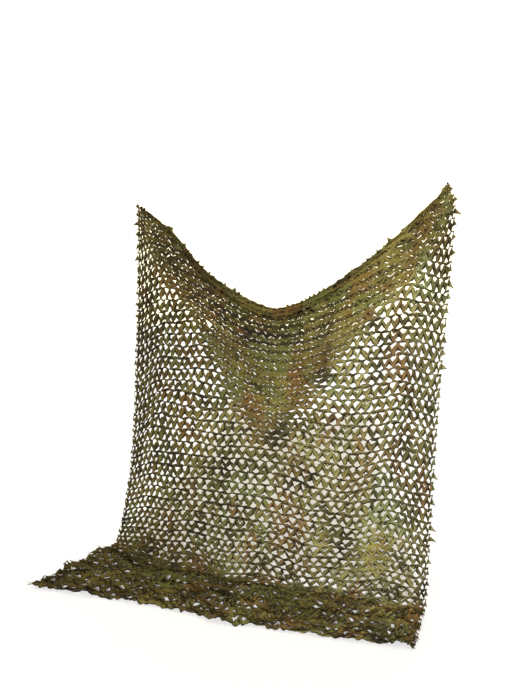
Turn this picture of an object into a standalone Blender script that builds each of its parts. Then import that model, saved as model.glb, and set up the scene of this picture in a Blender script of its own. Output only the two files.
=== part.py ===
"""Die-cut camouflage net, held up by its two top corners, its foot spread on the floor.

The net is one length of thin coated cloth. Rows of slits, pulled open, turn it into a
lattice of upright and hanging triangles. The top edge sags between the two held corners
and is turned over to the back; the sides hang plumb and are stretched tall and narrow;
the cloth under the sag is slack, so its slits stay shut; the foot bends onto the floor
and lies there in low, uneven folds that run out wider to the left.

The openings are cut here at twice the pitch of the real lattice: one in each unit,
hanging and upright in alternate rows, and both in the stretched columns at the sides.

Units are metres, +Z is up, X runs along the line between the held corners, and the
foot is spread towards -Y. The origin is the middle of the net's box, on the floor.
"""

import math
from collections import namedtuple

import bmesh
import bpy
from mathutils import Vector

# Driving dimensions -----------------------------------------------------------------

THICKNESS = 0.0025          # cloth with its curled leaves
CORNER_HEIGHT = 2.10        # held corners above the floor
HALF_SPAN = 0.89            # half the distance between the held corners
SAG = 0.60                  # how far the top edge drops between the corners
SAG_CENTRE = 0.02           # the lowest point lies a little right of the middle
SAG_POWER = 1.5             # 2 would be a parabola, 1 a V
SAG_ROUNDING = 0.08         # rounds the V at its lowest point, as a share of the half span

MIDDLE = Vector((0.0687, 0.3594, 0.0))   # the middle of the span, from the box's middle

# Lattice: each unit is two real columns wide and two real rows high
COLUMNS = 20
HANGING_ROWS = 14
TURN_ROWS = 3
BEND_ROWS = 2
FLOOR_ROWS = 5
ZIGZAG = 0.25               # sideways shift of alternate rows, in columns
CENTRE_PITCH_GAIN = 0.13    # columns are wider in the middle than at the sides

KNEE_HEIGHT_SIDE = 0.785    # a row that stays almost level right across
KNEE_HEIGHT_MIDDLE = 0.867
KNEE_ROW_SIDE = 8.9
KNEE_ROW_MIDDLE = 7.7

# The slits stay shut above this line, which hangs from corner to corner like the sag
SHUT_HEIGHT = 0.98
SHUT_POWER = 1.7
STRETCHED = 0.76            # beyond this share of the half span both triangles are open

HALF_BAR_SIDE = 0.0105      # half the width of a bar of the lattice, at the sides
HALF_BAR_MIDDLE = 0.0130    # and below the slack cloth

# Top edge, turned over to the back
TURN_RADIUS_CORNER = 0.007
TURN_RADIUS_MIDDLE = 0.016
FLAP_CORNER = 0.015
FLAP_MIDDLE = 0.045

# Left corner: the strip runs almost straight before the edge drops away
STRIP_X = -0.66
STRIP_RISE = 0.06
STRIP_REACH_LEFT = 0.24
STRIP_REACH_RIGHT = 0.24

# Right corner: the tip is rounded outwards just below the held point
TIP_HEIGHT = 1.97
TIP_REACH = 0.045
TIP_LENGTH = 0.12

BEND_RADIUS = 0.045         # where the cloth turns onto the floor
FLARE_HEIGHT = 0.80         # below this the sides run out towards the foot
FLARE_POWER = 2.2
LEAN_POWER = 1.5            # the cloth bellies forward more the lower it hangs

SWAG_DEPTH = 0.011          # soft swags that follow the sag in the slack cloth
SWAG_SPACING = 0.23
SWAG_FADE = 0.42
FLUTE_DEPTH = 0.014         # soft upright flutes, deeper towards the floor
FLUTE_SPACING = 0.37
FLUTE_DRIFT = 1.3

SCALLOP = 0.010             # the front edge runs in and out by this much
LYING = 0.5 * THICKNESS     # middle of the cloth where it lies on the floor

# The foot: where the cloth meets the floor, and where its front edge lies
Foot = namedtuple("Foot", "across contact_x contact_y front_x front_y")
FEET = (
    Foot(-1.0, -0.985, -0.190, -1.105, -0.755),
    Foot(-0.5, -0.455, -0.285, -0.520, -0.642),
    Foot(0.0, -0.005, -0.228, -0.030, -0.598),
    Foot(0.5, 0.470, -0.150, 0.455, -0.497),
    Foot(1.0, 0.897, -0.105, 0.895, -0.408),
)

# Low folds that run along the foot: place between bend and front edge, height, half
# width, how far the crest wanders, and how many times it swells along its length
FloorFold = namedtuple("FloorFold", "place height half_width wander swells phase")
FLOOR_FOLDS = (
    FloorFold(0.26, 0.034, 0.13, 0.050, 2.6, 0.4),
    FloorFold(0.58, 0.027, 0.12, 0.045, 3.7, 2.1),
)
FLAT_FRONT = 0.76           # from here to the front edge the cloth lies flat

NET_GREEN = (0.17, 0.17, 0.07, 1.0)


def lerp(start, end, share):
    """Straight mix of two values or vectors."""
    return start + (end - start) * share


def smooth(share):
    """Soft step from 0 to 1."""
    share = min(max(share, 0.0), 1.0)
    return share * share * (3.0 - 2.0 * share)


def foot_at(across):
    """Contact and front points of the foot, eased between the rows of the table."""
    across = min(max(across, -1.05), 1.05)
    step = 0
    while step < len(FEET) - 2 and across > FEET[step + 1].across:
        step += 1
    near, far = FEET[step], FEET[step + 1]
    share = (across - near.across) / (far.across - near.across)
    before = FEET[max(step - 1, 0)]
    after = FEET[min(step + 2, len(FEET) - 1)]

    def eased(name):
        a, b, c, d = (getattr(row, name) for row in (before, near, far, after))
        curve = 2 * b + (c - a) * share
        curve += (2 * a - 5 * b + 4 * c - d) * share ** 2
        curve += (3 * b - a - 3 * c + d) * share ** 3
        return 0.5 * curve

    contact = Vector((eased("contact_x"), eased("contact_y"), LYING))
    front = Vector((eased("front_x"), eased("front_y"), LYING))
    return contact, front


def plumb_x(across):
    """Place across the span of a column that hangs plumb; columns narrow at the sides."""
    gain = CENTRE_PITCH_GAIN
    return HALF_SPAN * ((1.0 + gain) * across - gain * across ** 3)


def sag_share(x):
    """0 at the lowest point of the top edge, 1 at the held corners."""
    reach = HALF_SPAN + SAG_CENTRE if x < SAG_CENTRE else HALF_SPAN - SAG_CENTRE
    far = abs(x - SAG_CENTRE) / reach
    soft = SAG_ROUNDING ** 2
    half_power = 0.5 * SAG_POWER
    low = soft ** half_power
    return ((far * far + soft) ** half_power - low) / ((1.0 + soft) ** half_power - low)


def top_height(x):
    """Height of the top edge, with the straight strip beside the left corner."""
    reach = STRIP_REACH_LEFT if x < STRIP_X else STRIP_REACH_RIGHT
    strip = STRIP_RISE * smooth(1.0 - abs(x - STRIP_X) / reach)
    return CORNER_HEIGHT - SAG * (1.0 - sag_share(x)) + strip


def shut_height(x):
    """Height above which the slits are shut."""
    return SHUT_HEIGHT + (CORNER_HEIGHT - SHUT_HEIGHT) * abs(x / HALF_SPAN) ** SHUT_POWER


def hanging_point(across, height):
    """Point of the hanging cloth: flared at the foot, bellied, swagged and fluted."""
    contact, _ = foot_at(across)
    x = plumb_x(across)
    edge = top_height(x)
    if across > 0.0:
        x += TIP_REACH * across ** 6 * math.exp(-((height - TIP_HEIGHT) / TIP_LENGTH) ** 2)
    flare = max(0.0, 1.0 - height / FLARE_HEIGHT) ** FLARE_POWER
    x = lerp(x, contact.x, flare)
    drop = max(0.0, 1.0 - height / edge)
    y = contact.y * drop ** LEAN_POWER
    below = edge - height
    swag = SWAG_DEPTH * smooth(below / SWAG_SPACING) * math.exp(-((below / SWAG_FADE) ** 2))
    y += swag * (1.0 - abs(across)) * math.sin(math.tau * below / SWAG_SPACING)
    turns = x / FLUTE_SPACING + FLUTE_DRIFT * x * x
    y += FLUTE_DEPTH * smooth(drop) * math.sin(math.tau * turns)
    return Vector((x, y, height))


def floor_point(across, share):
    """Point of the cloth on the floor, from the contact line to the front edge."""
    contact, front = foot_at(across)
    base = hanging_point(across, 0.0)
    point = lerp(Vector((base.x, base.y, LYING)), front, share)
    for fold in FLOOR_FOLDS:
        angle = math.pi * fold.swells * across + fold.phase
        crest = fold.place + fold.wander * math.sin(angle)
        near = 1.0 - abs(share - crest) / fold.half_width
        swell = 0.65 + 0.35 * math.sin(1.7 * angle)
        point.z += fold.height * swell * smooth(near)
    return point


def row_height(across, row):
    """Height of a row of the hanging lattice, counted down from the top edge."""
    x = plumb_x(across)
    middle = 1.0 - sag_share(x)
    knee_row = lerp(KNEE_ROW_SIDE, KNEE_ROW_MIDDLE, middle)
    knee = lerp(KNEE_HEIGHT_SIDE, KNEE_HEIGHT_MIDDLE, middle)
    start = top_height(x) - turn_radius(across)
    if row < knee_row:
        return lerp(start, knee, row / knee_row)
    return lerp(knee, BEND_RADIUS, (row - knee_row) / (HANGING_ROWS - knee_row))


def turn_radius(across):
    """Radius of the turned-over top edge."""
    return lerp(TURN_RADIUS_MIDDLE, TURN_RADIUS_CORNER, min(across * across, 1.0))


def turned_point(across, row):
    """Point of the top edge where it goes over to the back; row runs from 0 upwards."""
    start = hanging_point(across, row_height(across, 0.0))
    step = 0.01
    rise = top_height(start.x + step) - top_height(start.x - step)
    outward = Vector((-rise, 0.0, 2.0 * step)).normalized()
    radius = turn_radius(across)
    over_rows = TURN_ROWS - 1
    if row <= over_rows:
        angle = math.pi * row / over_rows
        back = Vector((0.0, radius * (1.0 - math.cos(angle)), 0.0))
        return start + outward * (radius * math.sin(angle)) + back
    flap = lerp(FLAP_MIDDLE, FLAP_CORNER, across * across) * (row - over_rows)
    return start + Vector((0.0, 2.0 * radius, 0.0)) - outward * flap


def net_point(column, row):
    """Place of a lattice point; row 0 is the top of the hanging cloth."""
    across = 2.0 * column / COLUMNS - 1.0
    if row < 0.0:
        return turned_point(across, -row)
    if row <= HANGING_ROWS:
        return hanging_point(across, row_height(across, row))
    row -= HANGING_ROWS
    _, front = foot_at(across)
    corner = hanging_point(across, 0.0)
    run = (front - corner).length
    bend_share = BEND_RADIUS / run
    if row <= BEND_ROWS:
        turn = row / BEND_ROWS
        high = hanging_point(across, BEND_RADIUS)
        low = floor_point(across, bend_share)
        corner.z = LYING
        return lerp(lerp(high, corner, turn), lerp(corner, low, turn), turn)
    share = lerp(bend_share, 1.0, (row - BEND_ROWS) / FLOOR_ROWS)
    scallop = SCALLOP * math.cos(math.tau * column) * smooth((share - FLAT_FRONT) * 4.0)
    return floor_point(across, share + scallop / run)


def lattice_plan(mesh):
    """Flat triangular lattice in columns and rows: alternate rows shift by half a unit."""
    rows = TURN_ROWS + HANGING_ROWS + BEND_ROWS + FLOOR_ROWS
    bmesh.ops.create_grid(mesh, x_segments=COLUMNS, y_segments=rows, size=0.5)
    for vert in mesh.verts:
        column = round((vert.co.x + 0.5) * COLUMNS)
        row = round((0.5 - vert.co.y) * rows) - TURN_ROWS
        vert.co = Vector((column, row, 0.0))
    for face in list(mesh.faces):
        corners = sorted(face.verts, key=lambda vert: (vert.co.y, vert.co.x))
        top_left, top_right, low_left, low_right = corners
        if round(top_left.co.y) % 2 == 0:
            bmesh.utils.face_split(face, top_right, low_left)
        else:
            bmesh.utils.face_split(face, top_left, low_right)
    for vert in mesh.verts:
        if vert.co.y > 0.5:
            vert.co.x += ZIGZAG if round(vert.co.y) % 2 else -ZIGZAG


def is_open(face):
    """Whether the slit in a triangle of the plan is pulled open."""
    middle = face.calc_center_median()
    if not 0.0 < middle.y < HANGING_ROWS:
        return False
    place = net_point(middle.x, middle.y)
    hangs = middle.y % 1.0 < 0.5
    in_turn = hangs == (int(middle.y) % 2 == 0)
    stretched = abs(place.x) > STRETCHED * HALF_SPAN
    return place.z < shut_height(place.x) and (in_turn or stretched)


def half_bar(face):
    """Half the width of the bars around an opening."""
    x = face.calc_center_median().x / HALF_SPAN
    return lerp(HALF_BAR_MIDDLE, HALF_BAR_SIDE, smooth(abs(x)))


def build_net_mesh():
    """Middle surface of the net with its openings cut."""
    mesh = bmesh.new()
    lattice_plan(mesh)
    open_faces = {face for face in mesh.faces if is_open(face)}
    shut_edges = [edge for edge in mesh.edges if not open_faces.intersection(edge.link_faces)]
    bmesh.ops.subdivide_edges(mesh, edges=shut_edges, cuts=1, use_grid_fill=True)
    open_faces = [face for face in mesh.faces if len(face.verts) == 3 and is_open(face)]
    for vert in mesh.verts:
        vert.co = net_point(vert.co.x, vert.co.y)
    for face in open_faces:
        bmesh.ops.inset_individual(mesh, faces=[face], thickness=half_bar(face))
    bmesh.ops.delete(mesh, geom=open_faces, context="FACES")
    bmesh.ops.triangulate(mesh, faces=mesh.faces)
    bmesh.ops.recalc_face_normals(mesh, faces=mesh.faces)
    return mesh


def net_material():
    """Matt green coated cloth."""
    material = bpy.data.materials.new("net_cloth")
    material.use_nodes = True
    shader = material.node_tree.nodes["Principled BSDF"]
    shader.inputs["Base Color"].default_value = NET_GREEN
    shader.inputs["Roughness"].default_value = 0.85
    shader.inputs["Metallic"].default_value = 0.0
    material.diffuse_color = NET_GREEN
    return material


def build_net(collection):
    """The net as one closed sheet."""
    data = bpy.data.meshes.new("net_sheet")
    mesh = build_net_mesh()
    mesh.to_mesh(data)
    mesh.free()
    data.shade_smooth()
    data.materials.append(net_material())
    net = bpy.data.objects.new("net_sheet", data)
    net.location = MIDDLE
    collection.objects.link(net)
    solid = net.modifiers.new("cloth_thickness", "SOLIDIFY")
    solid.thickness = THICKNESS
    solid.offset = 0.0
    solid.use_even_offset = True
    return net


def main():
    """Clear the scene and build the net."""
    for item in list(bpy.data.objects):
        bpy.data.objects.remove(item)
    collection = bpy.data.collections.new("camouflage_net")
    bpy.context.scene.collection.children.link(collection)
    build_net(collection)


main()
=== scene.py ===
"""Woodland camouflage net, hung by two corners, with its foot spread on the floor.

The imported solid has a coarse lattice. This script makes the real one on the same drape:
rows of hanging and standing triangular openings at their true pitch, each with the leaf
that the die cut from it, still joined along its straight side and curling out of the
cloth. Units are metres, +Z is up.
"""

from __future__ import annotations

import logging
import math
from dataclasses import dataclass, field
from enum import Enum
from functools import cached_property
from typing import Any, Callable

import bpy
import numpy as np
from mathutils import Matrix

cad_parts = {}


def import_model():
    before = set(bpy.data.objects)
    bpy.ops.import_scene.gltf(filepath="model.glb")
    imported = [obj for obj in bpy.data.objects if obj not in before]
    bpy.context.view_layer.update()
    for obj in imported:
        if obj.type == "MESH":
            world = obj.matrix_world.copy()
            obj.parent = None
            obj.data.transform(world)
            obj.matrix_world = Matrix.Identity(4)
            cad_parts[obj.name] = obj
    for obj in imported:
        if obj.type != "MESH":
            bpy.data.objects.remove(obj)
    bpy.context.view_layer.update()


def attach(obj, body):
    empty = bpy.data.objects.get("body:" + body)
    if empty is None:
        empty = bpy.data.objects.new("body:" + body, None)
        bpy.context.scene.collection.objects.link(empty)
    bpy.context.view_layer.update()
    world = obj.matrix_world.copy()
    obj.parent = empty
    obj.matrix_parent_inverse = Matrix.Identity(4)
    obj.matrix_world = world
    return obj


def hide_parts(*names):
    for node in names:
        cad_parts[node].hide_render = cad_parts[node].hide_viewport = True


LOG = logging.getLogger("camouflage_net")
Array = np.ndarray
Pair = tuple[float, float]
Colour = tuple[float, float, float, float]

CLOTH_MAP = "Cloth"         # the flat cloth's own coordinates, in metres
CUT_EDGE_AND_SHADE = "cut_edge_and_shade"       # up to 1 on a die-cut edge, 0 inside a bar or a leaf; sets the painted shade along edges, chords and whole cells, and where edges fray
SLACK = "slack"             # 1 where the slits are shut, 0 where they are pulled open
OPEN_RIM = (0.10, 0.75)     # values where the painted shade rim of an open slit starts and is full
SHUT_RIM = (0.30, 0.85)     # and those of a shut slit


def lerp(start: Any, end: Any, share: Any) -> Any:
    """Straight mix of two values or arrays."""
    return start + (end - start) * share


def smooth(share: Array) -> Array:
    """Soft step from 0 to 1."""
    share = np.clip(share, 0.0, 1.0)
    return share * share * (3.0 - 2.0 * share)


def ramp(value: Array, start: float, end: float) -> Array:
    """Soft step from 0 at the start to 1 at the end."""
    return smooth((value - start) / (end - start))


def bell(value: Array, middle: float, width: Any) -> Array:
    """Soft bump, 1 at its middle."""
    return np.exp(-(((value - middle) / width) ** 2))


def unit(vectors: Array) -> Array:
    """Vectors along the last axis, each at length one."""
    return vectors / np.maximum(np.linalg.norm(vectors, axis=-1, keepdims=True), 1e-9)


def rim_span(shut: Any) -> tuple[Any, Any]:
    """Values where the painted shade rim of an edge starts and where it is full."""
    return lerp(OPEN_RIM[0], SHUT_RIM[0], shut), lerp(OPEN_RIM[1], SHUT_RIM[1], shut)


class Lean(Enum):
    """Which way an opening points."""

    HANGING = 1
    STANDING = -1


@dataclass(frozen=True)
class Ripples:
    """Smooth repeatable unevenness: a sum of waves in random directions.

    Args:
        seed: number that fixes the waves.
        longest: longest wave, in the units of the coordinates.
        shortest: shortest wave.
        height: how high most of the sum is.
        waves: how many waves are added.
    """

    seed: int
    longest: float
    shortest: float
    height: float = 0.6
    waves: int = 9

    def at(self, across: Array, down: Array) -> Array:
        """Height of the ripples.

        Args:
            across: first coordinate.
            down: second coordinate.

        Returns:
            One value for each point.
        """
        random = np.random.default_rng(self.seed)
        total = np.zeros(np.broadcast(across, down).shape)
        for length in np.geomspace(self.longest, self.shortest, self.waves):
            heading, phase = random.uniform(0.0, math.tau, 2)
            run = math.cos(heading) * across + math.sin(heading) * down
            total += np.sin(math.tau * run / length + phase)
        return total / math.sqrt(0.5 * self.waves) * self.height


@dataclass(frozen=True)
class FloorFold:
    """A low fold that runs along the foot."""

    place: float
    height: float
    half_width: float
    wander: float
    swells: float
    phase: float
    unevenness: float = 0.35
    beat: float = 1.7

    def rise(self, across: Array, share: Array) -> Array:
        """How far the fold lifts the cloth.

        Args:
            across: -1 at the left side to 1 at the right.
            share: share of the way from the contact line to the front edge.

        Returns:
            One height for each point.
        """
        angle = math.pi * self.swells * across + self.phase
        crest = self.place + self.wander * np.sin(angle)
        swell = lerp(1.0, np.sin(self.beat * angle), self.unevenness)
        return self.height * swell * smooth(1.0 - np.abs(share - crest) / self.half_width)


@dataclass(frozen=True)
class Drape:
    """The surface on which the cloth hangs, bends and lies.

    A point of the cloth is named by its column, 0 to `columns` from left to right, and
    its row, counted down in bands of the lattice from the held corners. Across is its
    place between the sides, -1 at the left to 1 at the right.
    """

    # The cloth
    thickness: float = 0.0025
    columns: int = 40
    first_row: int = -1
    last_row: int = 43
    pitch_gain: float = 0.20
    pitch_shut: float = 0.0475
    pitch_open: Pair = (0.053, 0.068)       # near the floor and above
    pitch_heights: Pair = (-0.15, 0.80)
    pitch_gain_left: float = 1.03
    edge_rows: float = 3.0
    edge_columns: float = 2.0
    chord_wave: float = 0.070
    row_wobble: Ripples = Ripples(11, 14.0, 4.0, 0.066)
    column_wobble: Ripples = Ripples(23, 12.0, 3.6, 0.072)
    table_edge: float = 1.1
    table_size: int = 201
    # Top edge
    middle: tuple[float, float, float] = (0.0687, 0.3594, 0.0)
    corner_height: float = 2.10
    corner_lift: float = 0.022
    corner_lift_span: Pair = (0.75, 1.0)
    half_span: float = 0.89
    sag: float = 0.60
    sag_centre: float = 0.02
    sag_power: float = 1.5
    sag_rounding: float = 0.08
    strip_x: float = -0.66
    strip_rise: float = 0.06
    strip_reach: float = 0.24
    ear_x: float = -0.668
    ear_width: float = 0.010
    ear_rise: float = 0.020
    # Roll along the top edge, and how many rows have gone into it
    turn_radii: Pair = (0.029, 0.005)       # in the middle and at the corners
    turn_reach: float = 0.80
    flaps: Pair = (0.045, 0.015)
    turned_corners: Pair = (-0.85, 0.10)    # left and right
    turned_middle: float = 6.5
    turned_power: float = 0.85
    turned_more: float = 0.60
    turned_more_at: float = -0.42
    turned_more_width: float = 0.16
    lump_depth: float = 0.007
    lump_rise: float = 0.4
    lump_squash: float = 0.6
    lump_start: float = 0.25
    lumps: Ripples = Ripples(61, 2.6, 0.7)
    # Hanging cloth
    tip_height: float = 2.03
    tip_reach: float = 0.040
    tip_power: int = 6
    tip_above: float = 0.055
    tip_below: float = 0.80
    corner_pinch: float = 0.38
    pinch_span: Pair = (0.55, 0.90)
    pinch_row: float = 2.0
    pinch_rows: float = 6.0
    flare_height: float = 0.80
    flare_power: float = 2.2
    lean_power: float = 1.5
    swag_depth: float = 0.011
    swag_spacing: float = 0.23
    swag_fade: float = 0.42
    flute_depth: float = 0.014
    flute_spacing: float = 0.37
    flute_drift: float = 1.3
    # Slack cloth, where the slits stay shut
    slack_side: float = 0.23
    slack_corner: float = 0.35
    slack_corner_span: Pair = (0.76, 1.0)
    slack_middle: float = 0.36
    slack_spread: float = 0.42
    soft_heights: Pair = (0.42, 0.15)       # in the middle and at the sides
    soft_reach: float = 0.6
    soft_start: float = 0.25
    patches: tuple[tuple[float, float, float], ...] = ((32.5, 28.5, 2.2), (27.5, 27.0, 1.2))
    patch_squash: float = 1.3
    patch_shut: float = 0.85
    # Foot
    bend_radius: float = 0.045
    foot_reach: float = 1.05
    feet: tuple[tuple[float, ...], ...] = (     # across, x and y of contact, x and y of front
        (-1.0, -0.985, -0.190, -1.115, -0.763),
        (-0.5, -0.455, -0.285, -0.520, -0.652),
        (-0.18, -0.167, -0.250, -0.206, -0.608),
        (0.0, -0.005, -0.228, -0.030, -0.615),
        (0.2, 0.185, -0.197, 0.164, -0.558),
        (0.5, 0.470, -0.150, 0.455, -0.505),
        (1.0, 0.885, -0.105, 0.877, -0.408),
    )
    folds: tuple[FloorFold, ...] = (
        FloorFold(0.26, 0.034, 0.13, 0.050, 2.6, 0.4),
        FloorFold(0.58, 0.027, 0.12, 0.045, 3.7, 2.1),
    )
    heap_starts: Pair = (3.6, 0.6)          # left and right, in rows above the floor
    heap_span: Pair = (-0.9, 0.6)
    heap_rows: float = 1.6
    heap_shut: float = 0.45
    loft: Ripples = Ripples(37, 5.0, 1.2)
    loft_height: float = 0.012
    loft_base: float = 1.1
    loft_lumps: float = 0.7

    def across(self, column: Array) -> Array:
        """Place of a column between the sides, -1 to 1."""
        return 2.0 * column / self.columns - 1.0

    def foot(self, across: Array) -> tuple[Array, Array]:
        """Contact and front points of the foot.

        Args:
            across: -1 at the left side to 1 at the right.

        Returns:
            Two arrays of points, eased between the stations.
        """
        table = np.array(self.feet)
        across = np.clip(across, -self.foot_reach, self.foot_reach)
        last = len(table) - 2
        step = np.clip(np.searchsorted(table[:, 0], across) - 1, 0, last)
        start, end = table[step], table[step + 1]
        share = ((across - start[..., 0]) / (end[..., 0] - start[..., 0]))[..., None]
        before, after = table[np.maximum(step - 1, 0)], table[np.minimum(step + 2, last + 1)]
        curve = 2 * start + (end - before) * share
        curve += (2 * before - 5 * start + 4 * end - after) * share**2
        curve += (3 * start - before - 3 * end + after) * share**3
        _, contact_x, contact_y, front_x, front_y = np.moveaxis(0.5 * curve, -1, 0)
        level = np.full(across.shape, 0.5 * self.thickness)
        contact = np.stack([contact_x, contact_y, level], axis=-1)
        return contact, np.stack([front_x, front_y, level], axis=-1)

    def plumb_x(self, across: Array) -> Array:
        """Place across the span of a column that hangs plumb."""
        return self.half_span * ((1.0 + self.pitch_gain) * across - self.pitch_gain * across**3)

    def sag_share(self, x: Array) -> Array:
        """0 at the lowest point of the top edge, 1 at the held corners."""
        centre, soft = self.sag_centre, self.sag_rounding**2
        reach = np.where(x < centre, self.half_span + centre, self.half_span - centre)
        far = np.abs(x - centre) / reach
        power = 0.5 * self.sag_power
        low = soft**power
        return ((far * far + soft) ** power - low) / ((1.0 + soft) ** power - low)

    def top_height(self, x: Array) -> Array:
        """Height of the top edge, with the straight strip and a folded ear by the left corner."""
        strip = self.strip_rise * smooth(1.0 - np.abs(x - self.strip_x) / self.strip_reach)
        ear = self.ear_rise * bell(x, self.ear_x, self.ear_width)
        lift = self.corner_lift * ramp(np.abs(x) / self.half_span, *self.corner_lift_span)
        return self.corner_height - self.sag * (1.0 - self.sag_share(x)) + strip + ear + lift

    def pulled(self, across: Array, height: Array) -> Array:
        """How far the slits of hanging cloth are pulled open.

        Args:
            across: -1 to 1.
            height: height above the floor.

        Returns:
            0 where they are shut to 1 where they are wide open.
        """
        x = self.plumb_x(across)
        far = np.minimum(np.abs(x) / self.half_span, 1.0)
        taper = lerp(1.0, self.slack_corner, ramp(far, *self.slack_corner_span))
        hung = self.slack_side * taper + self.slack_middle * bell(far, 0.0, self.slack_spread)
        soft = lerp(*self.soft_heights, smooth(far / self.soft_reach))
        return smooth((self.top_height(x) - hung - height) / soft + self.soft_start)

    def openness(self, column: Array, row: Array) -> Array:
        """How far the slits are pulled open, in the heap and the slack patches too.

        Args:
            column: place across, in columns.
            row: place down, in bands.

        Returns:
            0 where they are shut to 1 where they are wide open.
        """
        across = self.across(column)
        height, _, floor_row = self.height_of(across, row)
        heap = lerp(*self.heap_starts, ramp(across, *self.heap_span))
        heaped = smooth((row - floor_row + heap) / self.heap_rows)
        share = self.pulled(across, height) * (1.0 - self.heap_shut * heaped)
        for middle, level, size in self.patches:
            away = np.hypot(column - middle, self.patch_squash * (row - level))
            share = share * (1.0 - self.patch_shut * bell(away, 0.0, size))
        return share

    def turned_rows(self, across: Array) -> Array:
        """Row at the crest of the rolled top edge."""
        top = self.top_height(self.plumb_x(across))
        sunk = np.clip((self.corner_height - top) / self.sag, 0.0, 1.0)
        corner = lerp(*self.turned_corners, 0.5 + 0.5 * np.clip(across, -1.0, 1.0))
        rows = lerp(corner, self.turned_middle, sunk**self.turned_power)
        return rows + self.turned_more * bell(across, self.turned_more_at, self.turned_more_width)

    def turn_radius(self, across: Array) -> Array:
        """Radius of the turned-over top edge."""
        return lerp(*self.turn_radii, smooth(np.abs(across) / self.turn_reach))

    @cached_property
    def _table(self) -> tuple[Array, Array, Array]:
        """Columns, the row at the floor of each, and heights at even steps of its rows."""
        across = np.linspace(-self.table_edge, self.table_edge, self.table_size)[:, None]
        top = self.top_height(self.plumb_x(across)) - 2.0 * self.turn_radius(across)
        share = np.linspace(1.0, 0.0, self.table_size)[None, :]
        height = top * share
        pitch = lerp(*self.pitch_open, ramp(height, *self.pitch_heights))
        pitch = pitch * lerp(self.pitch_gain_left, 1.0, smooth(across + 1.0))
        pitch = lerp(self.pitch_shut, pitch, self.pulled(across, height))
        middle = 0.5 / pitch[:, 1:] + 0.5 / pitch[:, :-1]
        rows = np.cumsum(-np.diff(height, axis=1) * middle, axis=1)
        rows = np.concatenate([np.zeros((self.table_size, 1)), rows], axis=1)
        steps = np.linspace(0.0, 1.0, self.table_size)
        shares = [np.interp(steps * own[-1], own, share[0]) for own in rows]
        floor = self.turned_rows(across[:, 0]) + rows[:, -1]
        return across[:, 0], floor, np.array(shares)

    def height_of(self, across: Array, row: Array) -> tuple[Array, Array, Array]:
        """Height of a row where it hangs, and the rows of the crest and the floor.

        Args:
            across: -1 to 1.
            row: band of the lattice.

        Returns:
            The height, the row at the top edge and the row at the floor.
        """
        columns, floor, shares = self._table
        top_row = self.turned_rows(across)
        floor_row = np.interp(across, columns, floor)
        last = self.table_size - 1
        down = np.clip((row - top_row) / (floor_row - top_row), 0.0, 1.0) * last
        aside = np.clip((across / self.table_edge + 1.0) * 0.5 * last, 0.0, last)
        i, j = (np.minimum(value.astype(int), last - 1) for value in (aside, down))
        left = lerp(shares[i, j], shares[i, j + 1], down - j)
        right = lerp(shares[i + 1, j], shares[i + 1, j + 1], down - j)
        top = self.top_height(self.plumb_x(across)) - 2.0 * self.turn_radius(across)
        return top * lerp(left, right, aside - i), top_row, floor_row

    def hanging(self, across: Array, height: Array) -> Array:
        """Points of the hanging cloth: flared at the foot, bellied, swagged and fluted.

        Args:
            across: -1 to 1.
            height: height above the floor.

        Returns:
            Points, before the net is moved to its place.
        """
        contact, _ = self.foot(across)
        x = self.plumb_x(across)
        edge = self.top_height(x)
        length = np.where(height > self.tip_height, self.tip_above, self.tip_below)
        tip = self.tip_reach * np.abs(across) ** self.tip_power
        tip = tip * bell(height, self.tip_height, length)
        x = x + np.where(across > 0.0, tip, 0.0)
        flare = np.maximum(0.0, 1.0 - height / self.flare_height) ** self.flare_power
        x = lerp(x, contact[..., 0], flare)
        drop = np.maximum(0.0, 1.0 - height / edge)
        below = edge - height
        swag = self.swag_depth * smooth(below / self.swag_spacing)
        swag = swag * bell(below, 0.0, self.swag_fade) * (1.0 - np.abs(across))
        turns = x / self.flute_spacing + self.flute_drift * x * x
        y = contact[..., 1] * drop**self.lean_power
        y = y + swag * np.sin(math.tau * below / self.swag_spacing)
        y = y + self.flute_depth * smooth(drop) * np.sin(math.tau * turns)
        return np.stack([x, y, height + 0.0 * x], axis=-1)

    def at_floor(self, across: Array) -> Array:
        """Points where the hanging cloth would meet the floor."""
        point = self.hanging(across, np.zeros(across.shape))
        point[..., 2] = 0.5 * self.thickness
        return point

    def lying(self, across: Array, share: Array) -> Array:
        """Points of the cloth on the floor.

        Args:
            across: -1 to 1.
            share: 0 at the contact line to 1 at the front edge.

        Returns:
            Points, before the net is moved to its place.
        """
        _, front = self.foot(across)
        point = lerp(self.at_floor(across), front, share[..., None])
        for fold in self.folds:
            point[..., 2] += fold.rise(across, share)
        return point

    def place(self, column: Array, row: Array) -> Array:
        """Where points of the cloth lie.

        Args:
            column: 0 at the left side to `columns` at the right.
            row: band of the lattice, `first_row` at the turned-in edge.

        Returns:
            Points in the object's frame.
        """
        inside = smooth((row - self.first_row) / self.edge_rows)
        inside = inside * smooth((self.last_row - row) / self.edge_rows)
        edge = smooth(column / self.edge_columns) * smooth((self.columns - column) / self.edge_columns)
        row = row + self.chord_wave * inside * np.cos(math.tau * column)
        row = row + inside * self.row_wobble.at(column, row)
        column = column + edge * self.column_wobble.at(column, row)
        across = self.across(column)
        outer = ramp(np.abs(across), *self.pinch_span) * bell(row, self.pinch_row, self.pinch_rows)
        across = across + np.sign(across) * self.corner_pinch * outer * (1.0 - np.abs(across))
        height, top_row, floor_row = self.height_of(across, row)
        point = self.hanging(across, np.maximum(height, self.bend_radius))

        turned = row < top_row
        over = np.clip((top_row - row) / (top_row - self.first_row), 0.0, 1.0)
        point = np.where(turned[..., None], self._turned(across, point, over), point)
        lump = smooth(over / self.lump_start) * self.lumps.at(column, self.lump_squash * row)
        lump = np.where(turned, self.lump_depth * lump, 0.0)
        point[..., 1] -= lump
        point[..., 2] += self.lump_rise * lump

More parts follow.
